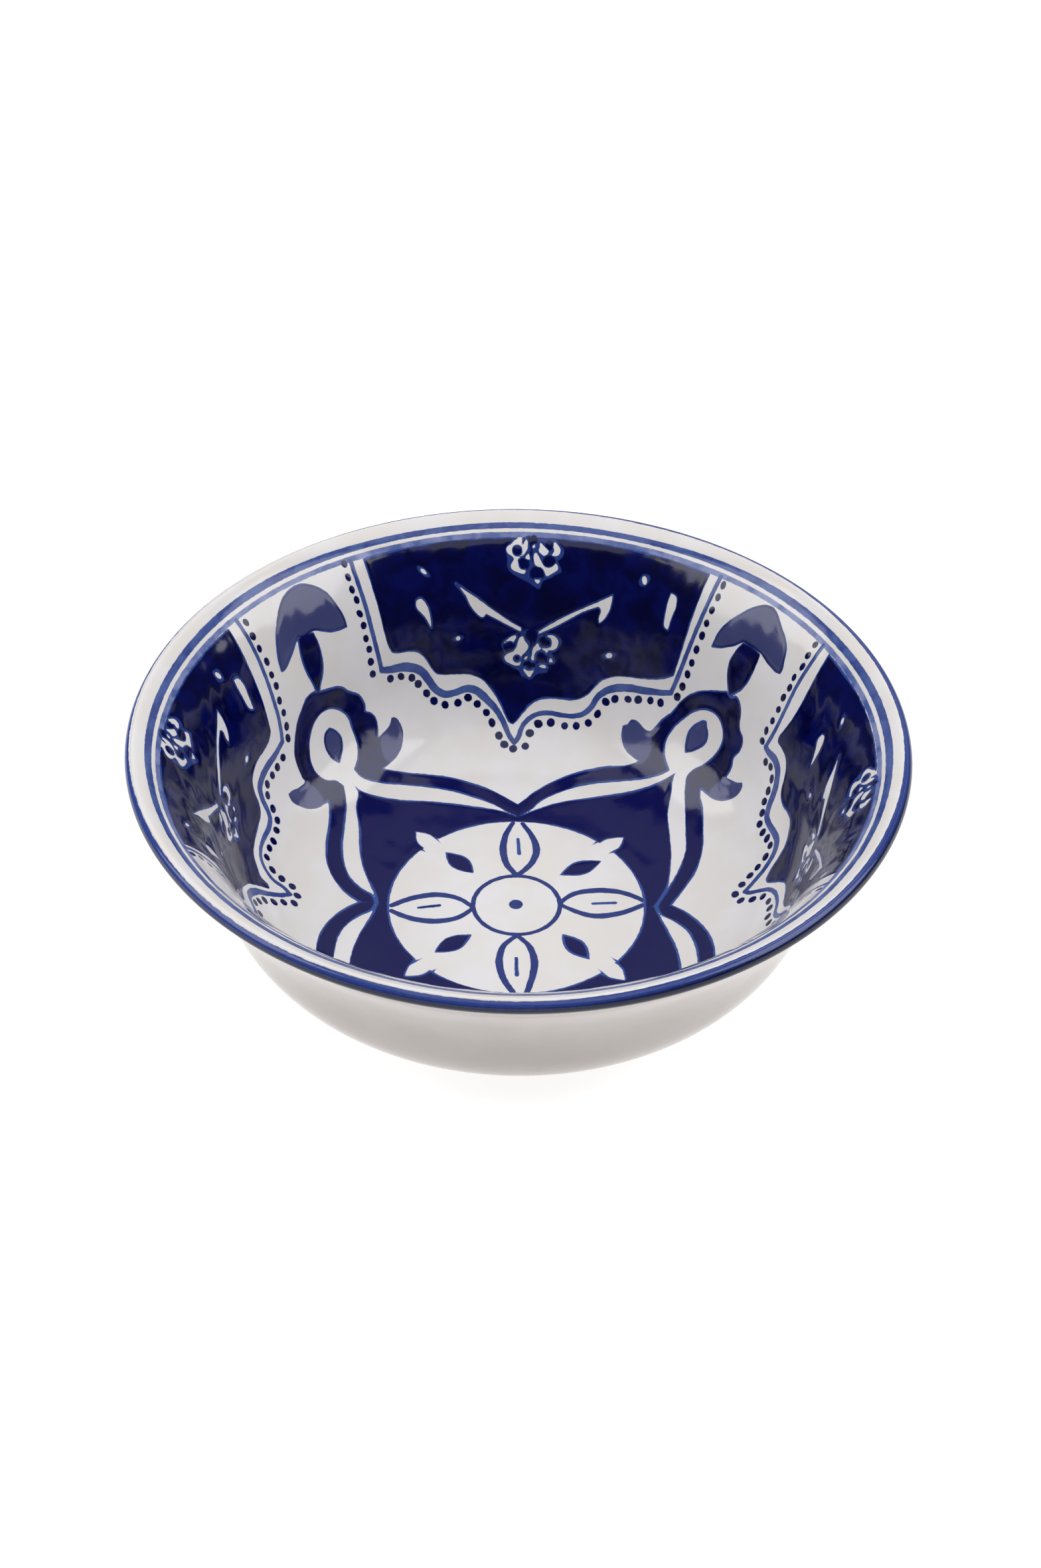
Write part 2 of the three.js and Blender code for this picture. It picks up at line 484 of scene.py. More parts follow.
cap_left = outline(
    [(-88, 122.5), (-93, 126), (-98, 128.5), (-103, 129), (-108, 128.3), (-113, 126), (-117, 122),
     (-120, 117), (-121.5, 112), (-122, 106), (-121.5, 99), (-120, 94), (-117.5, 89), (-114.5, 85.5)],
    [(-113, 87), (-111.5, 91.5), (-110.5, 96.5), (-110, 101), (-109.5, 103.5)],
    [(-106, 106), (-103, 109.5)],
    [(-102, 110.3), (-98, 111.8), (-93, 113.5), (-89, 115.8), (-85, 118.8)],
)
stalk_left = outline(
    [(-91.5, 91), (-92, 96), (-94.5, 102), (-97.5, 106), (-102, 109.8)],
    [(-106, 107.5), (-109.8, 103.5)],
    [(-108, 99.5), (-104.5, 95), (-100, 91.5), (-96, 89.5), (-93, 87.5), (-90, 87)],
)
cap_right = outline(
    [(95, 112), (99, 115), (104, 116.5), (110, 117), (116, 117), (121, 116), (125, 114), (128, 110.5),
     (129.5, 106), (130.5, 101), (132, 95), (132, 90), (130, 85), (127.5, 81.5), (126.5, 81)],
    [(124.5, 83), (122, 87), (120, 91), (118.3, 95)],
    [(114, 100.5), (110, 104.5)],
    [(105, 105.2), (100, 106.5), (96, 108), (92.7, 109.8)],
)
stalk_right = outline(
    [(96.5, 89), (97, 92), (98.5, 96.5), (101, 100.5), (105, 103), (110, 104.5)],
    [(114, 100.5), (118, 95)],
    [(115.5, 92.5), (112, 89.5), (108, 87.2), (104, 86.2), (100, 86.3), (95.5, 86.5)],
)
drop_left = outline(
    [(-80.5, 77.7), (-77, 78), (-73.5, 76.5), (-71.8, 73), (-71.5, 69), (-71.8, 66)],
    [(-75, 66.2), (-79, 68.5), (-81.5, 72), (-82, 75)],
)
drop_right = outline(
    [(68.5, 78.5), (71, 82), (75, 83.6), (80, 83.3), (81, 82.5)],
    [(80.5, 80.5), (80, 77), (78, 74.5), (74, 73.4), (67.3, 74)],
)
ground_left = outline(
    [(-62, 58), (-55, 57), (-45, 57), (-35, 57.7), (-25, 57.2), (-15, 55.8), (-8, 54.3), (-4.5, 53), (1, 50)],
    [(1, -1)],
    [(-52, -1)],
    [(-53.5, 5), (-56, 12), (-58.5, 20), (-60.3, 30), (-61, 40), (-62.8, 50), (-62.7, 57), (-65.5, 60)],
)
ground_right = outline(
    [(-1, 50), (4.5, 53.5)],
    [(7, 55), (12, 57.5), (20, 60), (28, 61.3), (35, 62.2), (42, 62.8), (50, 64), (58, 66), (62.5, 67.5)],
    [(61.5, 66), (60, 60), (58, 50), (58.3, 40), (58.6, 30), (58, 20), (56.5, 10), (54, 4), (51.5, -1)],
    [(-1, -1)],
)
watery_left = [(-85, 46.5, 11, 7), (-50, 82, 7, 11)]
watery_right = [(84, 52.5, 11, 6), (47, 83, 8, 10)]
left_set = ([stem_left, stalk_left, ground_left], [cap_left, drop_left], watery_left)
right_set = ([stem_right, stalk_right, ground_right], [cap_right, drop_right], watery_right)
corners = [(left_set, 0, 1), (right_set, 0, 1), (left_set, 180, -1), (left_set, 180, 1)]
for (full_shapes, thin_and_sheen_shapes, watery), degrees, across in corners:
    for x, y, wide, high in watery:
        thin.add(dabbed(*turned([(x, y)], degrees, across)[0], wide, high, degrees))
    for shape in full_shapes:
        cobalt.add(filled(turned(shape, degrees, across)))
    # The caps and drops also go on the thin layer, which lays grey-blue on them: thin cobalt, and on the caps
    # also painted reflection, the grey sheen of the lamps on the glaze.
    for shape in thin_and_sheen_shapes:
        shape_depth = filled(turned(shape, degrees, across))
        cobalt.add(shape_depth)
        thin.add(shape_depth)

# The flower in the well: a white disc kept clear of cobalt, a ring and four petals in line, and four leaves.
disc = 47.5
small_ring = 16.2
small_ring_half = 0.9
cobalt.spare(disc - distance)
line_work.add(dabbed(-0.2, 0.1, 2.6))
line_work.add(small_ring_half - np.abs(distance - small_ring))
petals = [
    ([(-1.8, 47), (-4.4, 40), (-5.4, 31), (-3.8, 22.5), (-0.3, 17)],
     [(1.8, 46.5), (5.2, 40), (7.3, 31), (4.8, 22.5), (0.4, 17)], [(0.2, 37.5), (0.7, 29)]),
    ([(0.3, -17), (-4.2, -22), (-6, -30), (-4.6, -39), (-0.8, -47)],
     [(0.5, -17), (4.6, -22), (6.9, -31), (6.3, -38), (4.2, -47)], [(0.2, -29), (0.5, -38)]),
    ([(-16.5, -1.5), (-20.5, 2.2), (-29, 5), (-38, 3.3), (-46.5, -1.3)],
     [(-16.5, -2.5), (-21, -7), (-30, -9.6), (-39, -8.3), (-46.5, -4.3)], [(-36.5, -2.3), (-28.8, -1)]),
    ([(16.2, 1.2), (20.5, 6), (30, 8.8), (40, 7.5), (47.3, 3.5)],
     [(16.5, 0.5), (21, -2.5), (29, -5.5), (38, -4), (47.3, 1)], [(28.5, 1.4), (36.8, 1.9)]),
]
petal_widths = [1.8, 2.9, 2.2]
for one_side, other_side, dash in petals:
    line_work.add(stroked(flowing(one_side), petal_widths))
    line_work.add(stroked(flowing(other_side), petal_widths))
    cobalt.add(stroked(np.array(dash), [1.3, 1.6]))
leaf_half = 3.9
leaves = [((16, 17), (32, 25.5)), ((-16.2, 17.4), (-27.5, 29.4)),
          ((-16.2, -16.5), (-30, -26.8)), ((16.8, -15.3), (27.2, -29.3))]
for (ax, ay), (bx, by) in leaves:
    long_way = np.array([bx - ax, by - ay])
    side_way = np.array([-long_way[1], long_way[0]]) / np.linalg.norm(long_way) * leaf_half
    middle = np.array([ax, ay]) + long_way / 2
    cobalt.add(filled(outline([middle + side_way, (bx, by)], [middle - side_way, (ax, ay)])))
for degrees in (-45.8, 44.0, 134.6, -134.8):
    ear = turned(outline([(-3.2, 46), (-3.6, 50), (0.2, 56.2)], [(3.2, 50.5), (3.4, 46), (0, 44)]), degrees)
    cobalt.spare(filled(ear))
    for tip in ([(2.7, 44.5), (3.1, 51), (4.6, 51)], [(-4.8, 44), (-4.2, 51), (-6.2, 51)]):
        cobalt.add(filled(turned(tip, degrees)))

# The panels: a dark field with a brushed line and a row of dots round it. Each is drawn upright in mm,
# with its point towards the well, and then turned to its side of the bowl.
top_reach = 205
panel_top = 169.6
line_top = 170.8
dot_gap = 3.9
back_field = [
    [(-76, 139), (-71, 131), (-66, 122.5), (-62, 117), (-60, 115.5)],
    [(-56, 116.5), (-52, 118), (-48, 118.5), (-44, 117), (-40, 113.5), (-37, 111.5), (-34, 111.5),
     (-28, 112.5), (-22, 113), (-17, 111.8), (-13, 108.5), (-9, 103.5), (-6, 98), (-4, 95), (-2.5, 94.5)],
    [(-1, 96), (2, 99.5), (5, 102.5), (8, 104), (12, 104.5), (17, 104), (22, 103.3), (26, 103.8),
     (30, 105.5), (33, 108), (36, 109.8), (40, 110.5), (46, 110), (53, 108), (60, 106), (66, 105),
     (70.5, 105)],
    [(77, 113), (83, 121), (89, 129.5), (93, 135), (97.5, 141), (104, 150)],
    [(0, top_reach)],
    [(-88, 161)],
]
left_field = [
    [(-72, 147), (-66, 140), (-61, 132), (-58.5, 125), (-57.5, 117)],
    [(-54, 115.5), (-49, 117), (-45, 116.5), (-41, 113.5), (-38, 110.3), (-34, 108.7), (-29, 109.5),
     (-24, 109), (-20, 107.3), (-15, 104.5), (-12, 101.5), (-9, 97.5), (-6.5, 94), (-4.5, 95)],
    [(-4, 98), (0, 101), (5, 103.7), (10, 104), (20, 103.5), (27, 103.8), (30, 106), (32, 109.5),
     (35, 112.5), (40, 113.8), (46, 113), (52, 111), (57, 110.2), (60.5, 111)],
    [(63, 114), (70, 122.5), (76, 130.5), (82, 138), (87.5, 144.5), (95, 153)],
    [(0, top_reach)],
    [(-84, 164)],
]
right_field = [
    [(-75, 153), (-70, 147.5), (-64, 140), (-60, 133), (-58, 127), (-57, 119)],
    [(-56, 117), (-50, 118.3), (-46, 118.8), (-42, 117.5), (-39, 114.5), (-36, 111), (-33, 109.5),
     (-28, 110), (-24, 111.5), (-19, 112.3), (-15, 110.5), (-11, 107.5), (-8, 102.5), (-5, 97.5),
     (-2, 95.3)],
    [(0, 95.5), (3, 98.5), (6, 102), (10, 105), (16, 105), (22, 104), (27, 105), (31, 108), (36, 110.5),
     (42, 110.5), (50, 108.5), (58, 107), (62, 108)],
    [(68, 116), (75, 126), (82, 136), (89, 144.5), (96, 152)],
    [(0, top_reach)],
    [(-84, 164)],
]
back_line = [
    [(-89.5, 149.5), (-83, 138), (-78, 130.5), (-72, 121), (-67, 113.5), (-63, 107.5)],
    [(-63, 107.5), (-58, 109.3), (-53, 111.3), (-48, 112), (-44, 111.3), (-40, 108.5), (-36.5, 105.5),
     (-32, 104), (-27, 105.5), (-22, 107.5), (-18, 106.8), (-14, 104), (-10, 100.5), (-6.5, 95.5),
     (-4, 90), (-2, 87.3)],
    [(-2, 87.3), (-0.5, 89), (1, 93.5), (4, 97), (8, 98.8), (12, 99), (17, 98), (22, 97.2), (27, 98),
     (30, 100), (33, 103.5), (37, 105.5), (42, 106), (48, 105), (55, 102.5), (62, 100.2), (67, 98.8)],
    [(67, 98.8), (73, 104.5), (80, 112), (87, 119.5), (94, 127.5), (99, 133.5), (103.5, 139)],
]
left_line = [
    [(-80, 154), (-73, 143), (-68, 134), (-64, 125), (-61.5, 116), (-60, 108)],
    [(-60, 108), (-55, 108), (-49, 110.5), (-44, 110), (-40, 106.5), (-36, 101.5), (-32, 100.3),
     (-28, 102), (-24, 104.5), (-20, 103.5), (-15, 100.5), (-10, 94), (-6, 88), (-3.5, 85)],
    [(-3.5, 85), (-1.5, 88), (-0.5, 93), (2, 96.5), (6, 99.5), (12, 100.3), (18, 99.3), (24, 98),
     (28, 98.5), (30.5, 101), (33, 105), (36, 107.5), (40, 107.8), (47, 106.5), (54, 104), (61, 102.3)],
    [(61, 102.3), (66, 107), (74, 116.5), (82, 126), (88, 133.5), (93.5, 141), (95.5, 143.5)],
]
right_line = [
    [(-82.5, 153), (-75, 142.5), (-70, 134), (-65, 126), (-61, 118), (-58, 108.5)],
    [(-58, 108.5), (-55, 109.5), (-50, 112), (-45, 112), (-41, 109.5), (-38, 106.5), (-35, 102.5),
     (-31, 99.8), (-27, 100.3), (-22, 102), (-17, 103), (-13, 101.5), (-9, 97), (-5, 91), (-1.3, 86)],
    [(-1.3, 86), (0.3, 87.5), (2, 91.5), (5, 96.5), (10, 99.5), (17, 100.5), (25, 99.5), (29, 101.5),
     (32, 105), (37, 107), (43, 106.5), (50, 104), (57, 101), (64, 100.5)],
    [(64, 100.5), (70, 107), (78, 117), (86, 127), (93, 136), (98, 142)],
]


def walked(path, count):
    """Evenly spaced points along a line, without its last one."""
    length = np.concatenate([[0], np.cumsum(np.linalg.norm(np.diff(path, axis=0), axis=1))])
    along = np.linspace(0, length[-1], count, endpoint=False)
    return np.stack([np.interp(along, length, path[:, 0]), np.interp(along, length, path[:, 1])], axis=1)


def beside(path, gap):
    """The same line moved sideways, away from the panel."""
    ahead = np.gradient(path, axis=0)
    ahead /= np.linalg.norm(ahead, axis=1)[:, None]
    return path + gap * np.stack([ahead[:, 1], -ahead[:, 0]], axis=1)


panels = [(back_field, back_line, 0, 1), (left_field, left_line, 90, 1),
          (right_field, right_line, -90, 1), (back_field, back_line, 180, -1)]
line_widths = [[2.4, 2.2], [2.6, 4.0, 3.6, 2.7, 3.4, 2.4, 2.0],
               [2.0, 2.0, 1.9, 2.4, 3.4, 3.0, 2.2], [2.2, 2.4]]
for field, line, degrees, across in panels:
    shape = filled(turned(outline(*field), degrees, across))
    cobalt.add(np.minimum(shape, panel_top - distance))
    rows = []
    for stroke, widths in zip(line, line_widths):
        path = flowing(stroke)
        line_work.add(np.minimum(stroked(turned(path, degrees, across), widths), line_top - distance))
        rows.append(beside(path, dot_gap))
    tip = (rows[1][-1] + rows[2][0]) / 2 - [0, 0.8]
    row = np.vstack([
        walked(rows[0], 10)[1:], [rows[0][-1]],
        walked(np.vstack([rows[1], tip]), 15)[1:], [tip],
        walked(np.vstack([tip, rows[2]]), 15)[1:],
        walked(rows[3], 10),
    ])
    for x, y in turned(row + chance.normal(0, 0.35, row.shape), degrees, across):
        dot = dabbed(x, y, chance.uniform(1.55, 1.9), chance.uniform(1.45, 1.75), chance.uniform(0, 180))
        cobalt.add(dot)
        dots.add(dot + 0.5)

# The sprigs: leaves left white in the dark field, with a berry dabbed back on each, over lighter strokes.
upper_leaves = [
    [(-1.5, 169.2), (-3.5, 168.3), (-5.6, 166.7), (-7.9, 165), (-7.9, 163.9), (-7, 162.9), (-5.3, 162),
     (-3.9, 161), (-5.2, 159), (-5.6, 158.2), (-4.9, 156.8), (-3.4, 156.1), (-1, 155.5), (1.6, 155.3),
     (2.2, 156.8), (-0.5, 157.6), (-2.2, 160.4), (0.5, 162.3), (2.3, 164), (3, 165.3), (2.4, 168.8),
     (0.1, 166), (0.1, 169)],
    [(1.8, 161.3), (3.5, 163), (4.2, 160.7)],
    [(6.5, 163), (7.4, 163.4), (8.8, 161.8), (9.8, 160.2), (11.2, 158.3), (12.5, 157.5), (15, 157.3),
     (16.6, 158.1), (17.5, 158.8), (18.6, 157.5), (18.7, 156.6), (17.6, 155.8), (14.8, 154.7),
     (12.6, 154), (12, 155.2), (11, 156.8), (9.5, 157.7), (7, 158.5), (6.5, 159.7)],
    [(6.5, 152.8), (8.3, 151), (9.9, 152.8)],
    [(9.5, 167.3), (10.8, 166.3), (12.5, 164.8), (13.8, 163.7), (11.7, 162), (10.5, 162.5), (8.6, 164),
     (9.3, 165.5)],
    [(16.8, 167.2), (18.5, 166), (19.8, 164.7), (19.9, 163.4), (19.2, 162.2), (17.5, 161.7),
     (15.5, 162.2), (16.9, 163.9), (16.1, 165)],
    [(5.3, 165.7), (6, 164.8), (7.2, 166.9)],
]
upper_berries = [(-2.4, 164.2, 2.7, 2.4), (1.1, 158.9, 2.8, 2.3), (8, 155.3, 3.7, 2.6),
                 (14.1, 159.7, 3.1, 2.2), (14.3, 166, 2.1, 1.9), (6, 168.5, 2.2, 2)]
lower_leaves = [
    [(-1.8, 130.7), (-4.5, 129.8), (-6.5, 128.5), (-7.8, 127.1), (-5.2, 128), (-3.4, 127.5)],
    [(1, 130.3), (2, 128.3), (3.6, 126.2), (3.4, 125), (2, 123.4), (0.5, 122), (0.3, 119), (-0.5, 118),
     (-2, 118), (-4.5, 118.8), (-7, 120.3), (-7.3, 121.3), (-5.5, 122.9), (-3.5, 123.7), (-2.2, 125.2),
     (-1.6, 126.6), (-0.6, 129.4)],
    [(1.2, 120.3), (3.3, 122.2), (2.9, 120.8)],
    [(8.1, 127.5), (6.8, 126.1), (6, 125.4), (5.3, 122.5), (5, 120.5), (5.9, 120), (7.2, 124),
     (9.8, 125.1), (8.6, 126)],
    [(12.4, 130.3), (14.4, 130.4), (16.4, 129.7), (17.7, 128.2), (17.6, 126.5), (16.5, 124.9),
     (14.8, 124.2), (12.9, 124.1), (12.2, 123), (10, 125.1), (14, 125.4), (14.8, 127.2), (14, 129)],
    [(1.3, 116.8), (2.8, 114.4), (4.2, 113.3), (5.3, 114.8), (6.4, 116.2), (4, 116.4)],
    [(8, 117.9), (11, 118.1), (11.6, 117.1), (9.8, 117)],
    [(12.8, 119.3), (13.7, 121), (14.7, 119.3)],
]
lower_berries = [(5.2, 130.6, 2.8, 2.5), (-5, 125.7, 2.7, 2.5), (-1.5, 120.9, 2, 1.8),
                 (4, 118.1, 2.6, 2.3), (9.3, 121.4, 3.1, 3.2), (11.6, 127.5, 3.1, 2.5)]
upper_sprig = outline(
    [(-8.6, 164.5), (-7.9, 162), (-7.5, 160), (-7.6, 157.8), (-6.4, 156.2), (-3.8, 154.5), (0, 153),
     (3.2, 151.8), (5.4, 150.6), (8, 149)],
    [(9.5, 149.2), (10.6, 151.6), (12, 152.5), (14.7, 153.1), (17.5, 154.2), (20.9, 155.1)],
    [(19.7, 157.8), (18.7, 159.7)],
    [(21.7, 161.8), (21.8, 164), (20.4, 165.6), (18.2, 167.9), (15, 169.6), (4, 170.5), (-2, 169.9),
     (-4.6, 168.3)],
)
lower_sprig = outline(
    [(-9.3, 126.3), (-8, 124.3), (-7.2, 123)],
    [(-8.3, 121), (-7.6, 119.1), (-5.1, 117.9), (-2.5, 116.8), (-0.5, 115.5), (0.8, 113.5), (2.8, 112.7),
     (4.2, 112)],
    [(6, 113.2), (7.5, 114.4), (11.8, 114.8)],
    [(12.3, 116), (12.2, 118.5), (16.2, 119.3)],
    [(15, 121), (14.7, 123), (17, 124.6), (19.2, 126.5), (19.7, 127.7)],
    [(17.8, 129.8), (15, 131.2), (11, 131), (8.5, 132.5)],
    [(5, 133.5), (1, 132.6)],
    [(-2, 131.5), (-5.5, 130.2), (-8, 128.3)],
)
sprig_stems = [[(2.6, 169.4), (0.6, 167.6), (-1.6, 165.6)], [(7.2, 169), (5.6, 165), (3, 161.4)],
               [(3.6, 169.6), (4.8, 165), (5.6, 160)], [(5, 130), (4.9, 125), (4.6, 121.5)],
               [(-0.4, 131.4), (-2.4, 128)], [(7.6, 130.4), (6.4, 127.4), (4.6, 124)]]
left_spear = outline(
    [(-10, 138.5), (-20, 143.5), (-33, 148.8)],
    [(-28, 145), (-24, 140), (-20, 137.2)],
    [(-18.5, 137), (-17, 138.5)],
    [(-10, 136), (0, 132)],
    [(0.5, 133.5)],
)
right_spear = outline(
    [(20, 137.1), (30, 140), (38, 141.7)],
    [(46, 143.5)],
    [(44, 138), (40, 134), (38, 133.3)],
    [(38, 135), (39.5, 138.5), (38.3, 139.9)],
    [(30, 138.5), (20, 135), (8.5, 131)],
    [(8.5, 132.2)],
)
left_drop = outline(
    [(-50, 140.3), (-47, 138.5), (-44.5, 134.5), (-43, 129.5)],
    [(-48, 134), (-52, 136.5), (-52.3, 139)],
)
right_drop = outline([(78.5, 135.5), (78, 132.5), (74.5, 127.5), (72, 123.7)],
                     [(70.5, 125.5), (71.5, 129.5), (73.5, 134), (75.8, 137.7)])
glints = [(-50, 151, 1.7, 0.8, -20), (-29.5, 127.3, 1.1, 0.8, 20), (62.7, 146.2, 1.2, 1.8, 10),
          (41, 119.6, 1.6, 1.0, 0)]
sprig_places = [(0, 1, 0, 0, 0), (90, 1, -1, 1, -9), (-96, 1, 0, 0, 0), (180, -1, 0, 0, 0)]
for degrees, across, shift_x, shift_y, drop_slip in sprig_places:
    shift = np.array([shift_x, shift_y])
    for shape in (upper_sprig, lower_sprig):
        wash.add(filled(turned(shape + shift, degrees, across)))
    for shape in sprig_stems:
        stem = stroked(turned(flowing(shape) + shift, degrees, across), [1.9, 1.3])
        cobalt.add(stem - 0.2)
        wash.spare(stem - 0.5)
    for shape in upper_leaves + lower_leaves:
        cobalt.spare(filled(turned(outline(shape) + shift, degrees, across)))
    for shape in (left_spear, right_spear, left_drop, right_drop + [drop_slip, 0]):
        mark = filled(turned(shape + shift, degrees, across))
        cobalt.spare(mark - 0.1)
        wash.add(mark + 0.6)
    for x, y, wide, high, lean in glints:
        place = turned([(x + shift_x, y + shift_y)], degrees, across)[0]
        cobalt.spare(dabbed(*place, wide, high, lean + degrees))
        wash.add(dabbed(*place, 2 * wide + 0.8, high + 0.6, lean + degrees))
    for x, y, wide, high in upper_berries + lower_berries:
        place = turned([(x + shift_x, y + shift_y)], degrees, across)[0]
        cobalt.add(dabbed(*place, wide, high, degrees))
        wash.spare(dabbed(*place, wide, high, degrees))

# The two rings under the flare, the lower one in thin cobalt that touches the panels.
upper_ring = 174.4
upper_ring_half = 1.3
lower_ring = 170.6
lower_ring_half = 1.1
rim_start = 181.4


def wander_of(angle):
    """How far the hand strays as it holds the brush against the turning bowl."""
    return 0.25 * np.sin(3 * angle + 0.4) + 0.15 * np.sin(8 * angle + 1.3)


def band_edge(angle):
    """Where the blue of the rim starts."""
    return rim_start - 0.8 * np.cos(angle) + wander_of(angle)


wander = wander_of(bearing)
forward = 0.8 * np.clip(-np.sin(bearing), 0, 1) ** 2 + 0.35 * np.cos(bearing) ** 2
ring_half = upper_ring_half + 0.5 * wander + 0.5 * forward
line_work.add(ring_half - np.abs(distance - upper_ring - wander - forward))
pale.add(lower_ring_half - 0.3 * wander - np.abs(distance - lower_ring - 0.6 * wander))

# A stroke stands a little proud of the glaze, and the glaze itself is never quite even.
stroke_relief = 0.12
line_relief = 0.04
sink = 0.20
fade_out = 6
swell = np.zeros(len(spots))
for size, height in [(34, 0.10), (17, 0.07), (9, 0.035)]:
    for _ in range(9):
        way = chance.uniform(0, 2 * math.pi)
        wave = spots @ np.array([math.cos(way), math.sin(way)]) * 2 * math.pi
        phase = wave / (size * chance.uniform(0.7, 1.4))
        swell += height / 3 * np.sin(phase + chance.uniform(0, 2 * math.pi))
painted = np.clip(cobalt.depth / 2.2, 0, 1)
lines_up = np.clip(line_work.depth / 0.9, 0, 1)
relief = stroke_relief * painted**2 * (3 - 2 * painted) + line_relief * lines_up**2 * (3 - 2 * lines_up)
relief += swell * (0.35 + 0.65 * painted) * (0.5 + 0.5 * np.abs(np.cos(bearing))) - sink
fade = np.clip((run[-1] - distance) / fade_out, 0, 1) * np.clip(distance / fade_out, 0, 1)
along = np.gradient(rings, axis=0)
along /= np.linalg.norm(along, axis=1)[:, None]
rise_r = np.repeat(-along[:, 1], counts)
rise_z = np.repeat(along[:, 0], counts)
outward = np.stack([rise_r * np.cos(bearing), rise_r * np.sin(bearing), rise_z], axis=1)
lifts = (relief * fade)[:, None] * outward

under = sunk(rings, glaze_depth)[::-6]
under = np.vstack([under[under[:, 0] > 1], [[0, under[-1, 1]]]])
under_counts = [fine_turns if r > 100 else coarse_turns for r in under[:-1, 0]] + [1]
glaze = thrown("painted_inside", np.vstack([rings, under]), counts + under_counts, lifts)
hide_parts("inside_glaze")


def brushed_on(piece, name, values):
    """Keeps a layer of brushwork with the piece, for its finish to read."""
    held = piece.data.attributes.new(name, "FLOAT", "POINT")
    whole = np.full(len(piece.data.vertices), -reach, np.float32)
    whole[:len(values)] = values
    held.data.foreach_set("value", whole)


for name, values in [("cobalt", cobalt.depth), ("thin", thin.depth), ("line_work", line_work.depth),
                     ("pale", pale.depth), ("wash", wash.depth), ("dots", dots.depth),
                     ("rim_blue", distance - band_edge(bearing))]:
    brushed_on(glaze, name, values)


def layer_of(start, name):
    """A layer of brushwork, in mm."""
    return start.node("Attribute", {"attribute_type": "GEOMETRY", "attribute_name": name}, {}, "Fac")


white_glaze = tint(232, 230, 231)
warm_white = tint(229, 225, 222)
deep_cobalt = tint(0, 2, 50)
bright_cobalt = tint(2, 10, 82)
thin_cobalt = tint(8, 12, 80)
petal_blue = tint(34, 48, 116)
melted_edge = tint(50, 78, 150)
brush_blue = tint(74, 96, 158)
brush_dark = tint(54, 72, 140)
sprig_blue = tint(38, 66, 138)
sprig_dark = tint(40, 56, 124)
# Grey-blue for thin cobalt; on the caps it also stands in for the lamps' grey sheen, a painted reflection.
pale_blue = tint(132, 142, 190)
sheen_grey_blue = tint(76, 82, 130)
rim_blue = tint(46, 66, 138)


def glassy(start, sockets, ripple):
    """The clear coat: glossy all over, with a faint orange-peel waviness."""
    sockets["IOR"].default_value = 1.42
    lay(0.08 + 0.08 * speckle(start, 14, 3), sockets["Roughness"])
    skin = speckle(start, 6, 2) + 0.25 * speckle(start, 1.8, 2)
    lay(start.node("Bump", {}, {"Height": skin, "Strength": 1.0, "Distance": ripple * MM}), sockets["Normal"])


painting, sockets = finish("cobalt_under_clear_glaze", glaze)
ragged = (speckle(painting, 2.5, 2) - 0.5) * 0.5
edge = layer_of(painting, "cobalt") + ragged
brush = layer_of(painting, "line_work") + ragged
cloud = speckle(painting, 22, 3)
streak = speckle(painting, 9, 3, 0, 0.6)
object_place = painting.node("TexCoord", {}, {}, "Object")
in_well = painting.node("SeparateXYZ", {}, {"Vector": object_place}, "Z").rise(0.03, 0.012)
coat_colour = cloud.rise(0.35, 0.65).over(white_glaze, warm_white)
ring_colour = streak.rise(0.3, 0.7).over(pale_blue, brush_blue)
coat_colour = (layer_of(painting, "pale") + ragged).rise(-0.15, 0.15).over(coat_colour, ring_colour)
line_colour = (0.8 * in_well).over(streak.rise(0.35, 0.65).over(brush_blue, brush_dark), petal_blue)
coat_colour = brush.rise(-0.15, 0.15).over(coat_colour, line_colour)
halo = (0.2 + 0.7 * cloud.rise(0.35, 0.65)) * (1 - layer_of(painting, "dots").rise(0, 0.2))
body = in_well.over(streak.rise(0.3, 0.75).over(deep_cobalt, bright_cobalt), thin_cobalt)
body = (edge - halo).rise(-0.3, 0.4).over(melted_edge, body)
# Grey-blue where the thin layer lies: thin watery cobalt, and on the caps also painted reflection, the grey
# sheen of the lamps.
thin_and_sheen = (layer_of(painting, "thin") + ragged).rise(0.3, 1.6) * (0.55 + 0.4 * cloud)
body = thin_and_sheen.over(body, sheen_grey_blue)
sprig_colour = streak.rise(0.3, 0.7).over(sprig_blue, sprig_dark)
body = (layer_of(painting, "wash") + ragged).rise(-0.2, 0.5).over(body, sprig_colour)
coat_colour = edge.rise(-0.15, 0.15).over(coat_colour, body)
rim_colour = streak.rise(0.3, 0.7).over(rim_blue, brush_dark)
coat_colour = (layer_of(painting, "rim_blue") + ragged).rise(-0.15, 0.15).over(coat_colour, rim_colour)
lay(coat_colour, sockets["Base Color"])
glassy(painting, sockets, 0.05)


# ------------------------------------------------------------------- rim band
# The lip is a rounded bead, and a loaded brush held against it while the bowl turns lays the blue band.
# Its outer side, where the lip turns down, is coloured a darker navy: cobalt pooled there and painted shade
# under the lip. The band's inner edge wanders with the hand.

